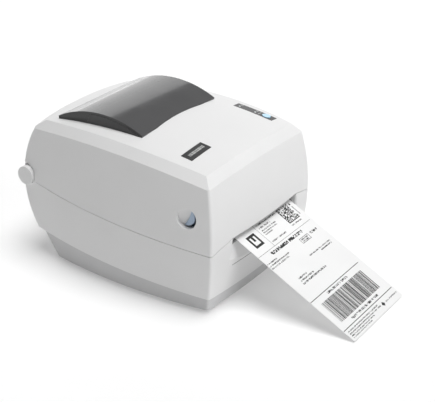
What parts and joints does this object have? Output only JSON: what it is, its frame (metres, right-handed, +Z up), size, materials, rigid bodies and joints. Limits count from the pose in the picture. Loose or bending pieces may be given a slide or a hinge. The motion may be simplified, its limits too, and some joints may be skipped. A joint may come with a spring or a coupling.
{
  "type": "thermal label printer",
  "caption": "Desktop thermal label printer: two-part grey shell with a rear-hinged cover, smoked arched roll window, side release scoops and a printed label leaving the front slot.",
  "frame": {"origin": "on the surface the printer stands on, midway between its four rubber feet", "axes": "+Z up, -Y towards the front where labels come out, +X to the right of someone facing +Y"},
  "size_m": [0.1984, 0.3882, 0.1693],
  "materials": {
    "shell_plastic": "fine moulded texture, light grey",
    "plinth_plastic": "fine moulded texture, mid grey",
    "foot_rubber": "soft matt",
    "steel": "zinc plated",
    "black_plastic": "fine moulded texture",
    "circuit_board": "green solder mask",
    "chip_black": "moulded epoxy",
    "bright_metal": "plated",
    "bearing_plastic": "acetal",
    "aluminium_bar": "extruded",
    "head_ceramic": "glazed",
    "latch_blue": "smooth moulded",
    "guide_blue": "smooth moulded",
    "button_blue": "translucent cap",
    "panel_dark": "printed overlay, no lettering",
    "lamp": "clear light pipe",
    "smoked_window": "smoked, polished",
    "label_paper": "coated white",
    "core_board": "spiral wound"
  },
  "bodies": {
    "base": {"lower_case": "shell_plastic", "base_plate": "plinth_plastic", "rubber_foot_1": "foot_rubber", "rubber_foot_2": "foot_rubber", "rubber_foot_3": "foot_rubber", "rubber_foot_4": "foot_rubber", "front_bezel": "shell_plastic", "tear_bar": "steel", "media_tray": "black_plastic", "main_board": "circuit_board", "board_components": "chip_black", "port_panel": "black_plastic", "power_inlet": "black_plastic", "usb_socket": "bright_metal", "switch_housing": "black_plastic", "socket_board": "circuit_board", "platen_bearing_left": "bearing_plastic", "platen_bearing_right": "bearing_plastic", "stepper_motor": "black_plastic", "motor_bracket": "steel", "gap_sensor": "black_plastic", "holder_pinion_pin": "steel", "hinge_bracket_left": "steel", "hinge_bracket_right": "steel", "hinge_pin_left": "shell_plastic", "hinge_pin_right": "shell_plastic", "case_screws": "steel", "label_web": "label_paper", "printed_label": "label_paper"},
    "platen": {"platen_shaft": "steel", "platen_rubber": "foot_rubber", "platen_gear": "bearing_plastic"},
    "idler": {"idler_gear": "bearing_plastic"},
    "pinion": {"motor_pinion": "steel"},
    "cover": {"top_cover": "shell_plastic", "window": "smoked_window", "cover_frame": "steel", "frame_screws": "steel", "head_pivot_rod": "steel", "control_panel": "panel_dark", "status_lights": "lamp", "name_plate": "panel_dark", "button_board": "circuit_board", "head_spring_left": "steel", "head_spring_right": "steel"},
    "head": {"head_cooling_bar": "aluminium_bar", "thermal_head": "head_ceramic"},
    "latch": {"latch_shaft": "steel", "latch_lever_left": "latch_blue", "latch_lever_right": "latch_blue"},
    "button": {"feed_button": "button_blue"},
    "rocker": {"power_rocker": "black_plastic"},
    "holder_left": {"roll_holder_left": "bearing_plastic"},
    "holder_right": {"roll_holder_right": "bearing_plastic"},
    "holder_drive": {"holder_pinion": "bearing_plastic"},
    "guide_left": {"media_guide_left": "guide_blue"},
    "guide_right": {"media_guide_right": "guide_blue"},
    "roll": {"label_roll": "label_paper", "roll_core": "core_board"}
  },
  "joints": [
    {"name": "cover_hinge", "type": "hinge", "parent": "base", "child": "cover", "pos_m": [0, 0.1287, 0.0895], "axis": [-1, 0, 0], "range_deg": [0, 90]},
    {"name": "head_tilt", "type": "hinge", "parent": "cover", "child": "head", "pos_m": [0, -0.062, 0.092], "axis": [-1, 0, 0], "range_deg": [0, 3], "stiffness_Nm_per_rad": 2, "springref_deg": -11.46, "deforming": ["head_spring_left", "head_spring_right"]},
    {"name": "latch_release", "type": "hinge", "parent": "cover", "child": "latch", "pos_m": [0, -0.078, 0.132], "axis": [-1, 0, 0], "range_deg": [0, 3.7], "stiffness_Nm_per_rad": 0.5, "springref_deg": -5.73},
    {"name": "feed_press", "type": "slide", "parent": "cover", "child": "button", "axis": [0, 0, -1], "range_m": [0, 0.0006], "stiffness_N_per_m": 300, "springref_m": -0.0005},
    {"name": "power_rock", "type": "hinge", "parent": "base", "child": "rocker", "pos_m": [-0.029, 0.128, 0.0505], "axis": [1, 0, 0], "range_deg": [0, 14]},
    {"name": "platen_spin", "type": "hinge", "parent": "base", "child": "platen", "pos_m": [0, -0.092, 0.06325], "axis": [1, 0, 0], "continuous": true},
    {"name": "idler_spin", "type": "hinge", "parent": "base", "child": "idler", "pos_m": [0.0725, -0.07171, 0.05201], "axis": [1, 0, 0], "continuous": true},
    {"name": "pinion_spin", "type": "hinge", "parent": "base", "child": "pinion", "pos_m": [0.0725, -0.054, 0.047], "axis": [1, 0, 0], "continuous": true},
    {"name": "roll_spin", "type": "hinge", "parent": "base", "child": "roll", "pos_m": [0, 0.048, 0.102], "axis": [1, 0, 0], "continuous": true},
    {"name": "holder_left_slide", "type": "slide", "parent": "base", "child": "holder_left", "axis": [-1, 0, 0], "range_m": [0, 0.009], "stiffness_N_per_m": 150, "springref_m": -0.01},
    {"name": "holder_right_slide", "type": "slide", "parent": "base", "child": "holder_right", "axis": [1, 0, 0], "range_m": [0, 0.009]},
    {"name": "holder_pinion_turn", "type": "hinge", "parent": "base", "child": "holder_drive", "pos_m": [0, 0.048, 0.0474], "axis": [0, 0, 1], "range_deg": [0, 74]},
    {"name": "guide_left_slide", "type": "slide", "parent": "base", "child": "guide_left", "axis": [-1, 0, 0], "range_m": [0, 0.008]},
    {"name": "guide_right_slide", "type": "slide", "parent": "base", "child": "guide_right", "axis": [1, 0, 0], "range_m": [0, 0.008]}
  ],
  "couplings": [
    {"joint": "idler_spin", "follows": "platen_spin", "ratio": -0.70588},
    {"joint": "pinion_spin", "follows": "platen_spin", "ratio": 2},
    {"joint": "holder_right_slide", "follows": "holder_left_slide", "ratio": 1},
    {"joint": "holder_pinion_turn", "follows": "holder_left_slide", "rad_per_m": 142.86},
    {"joint": "guide_right_slide", "follows": "guide_left_slide", "ratio": 1}
  ]
}
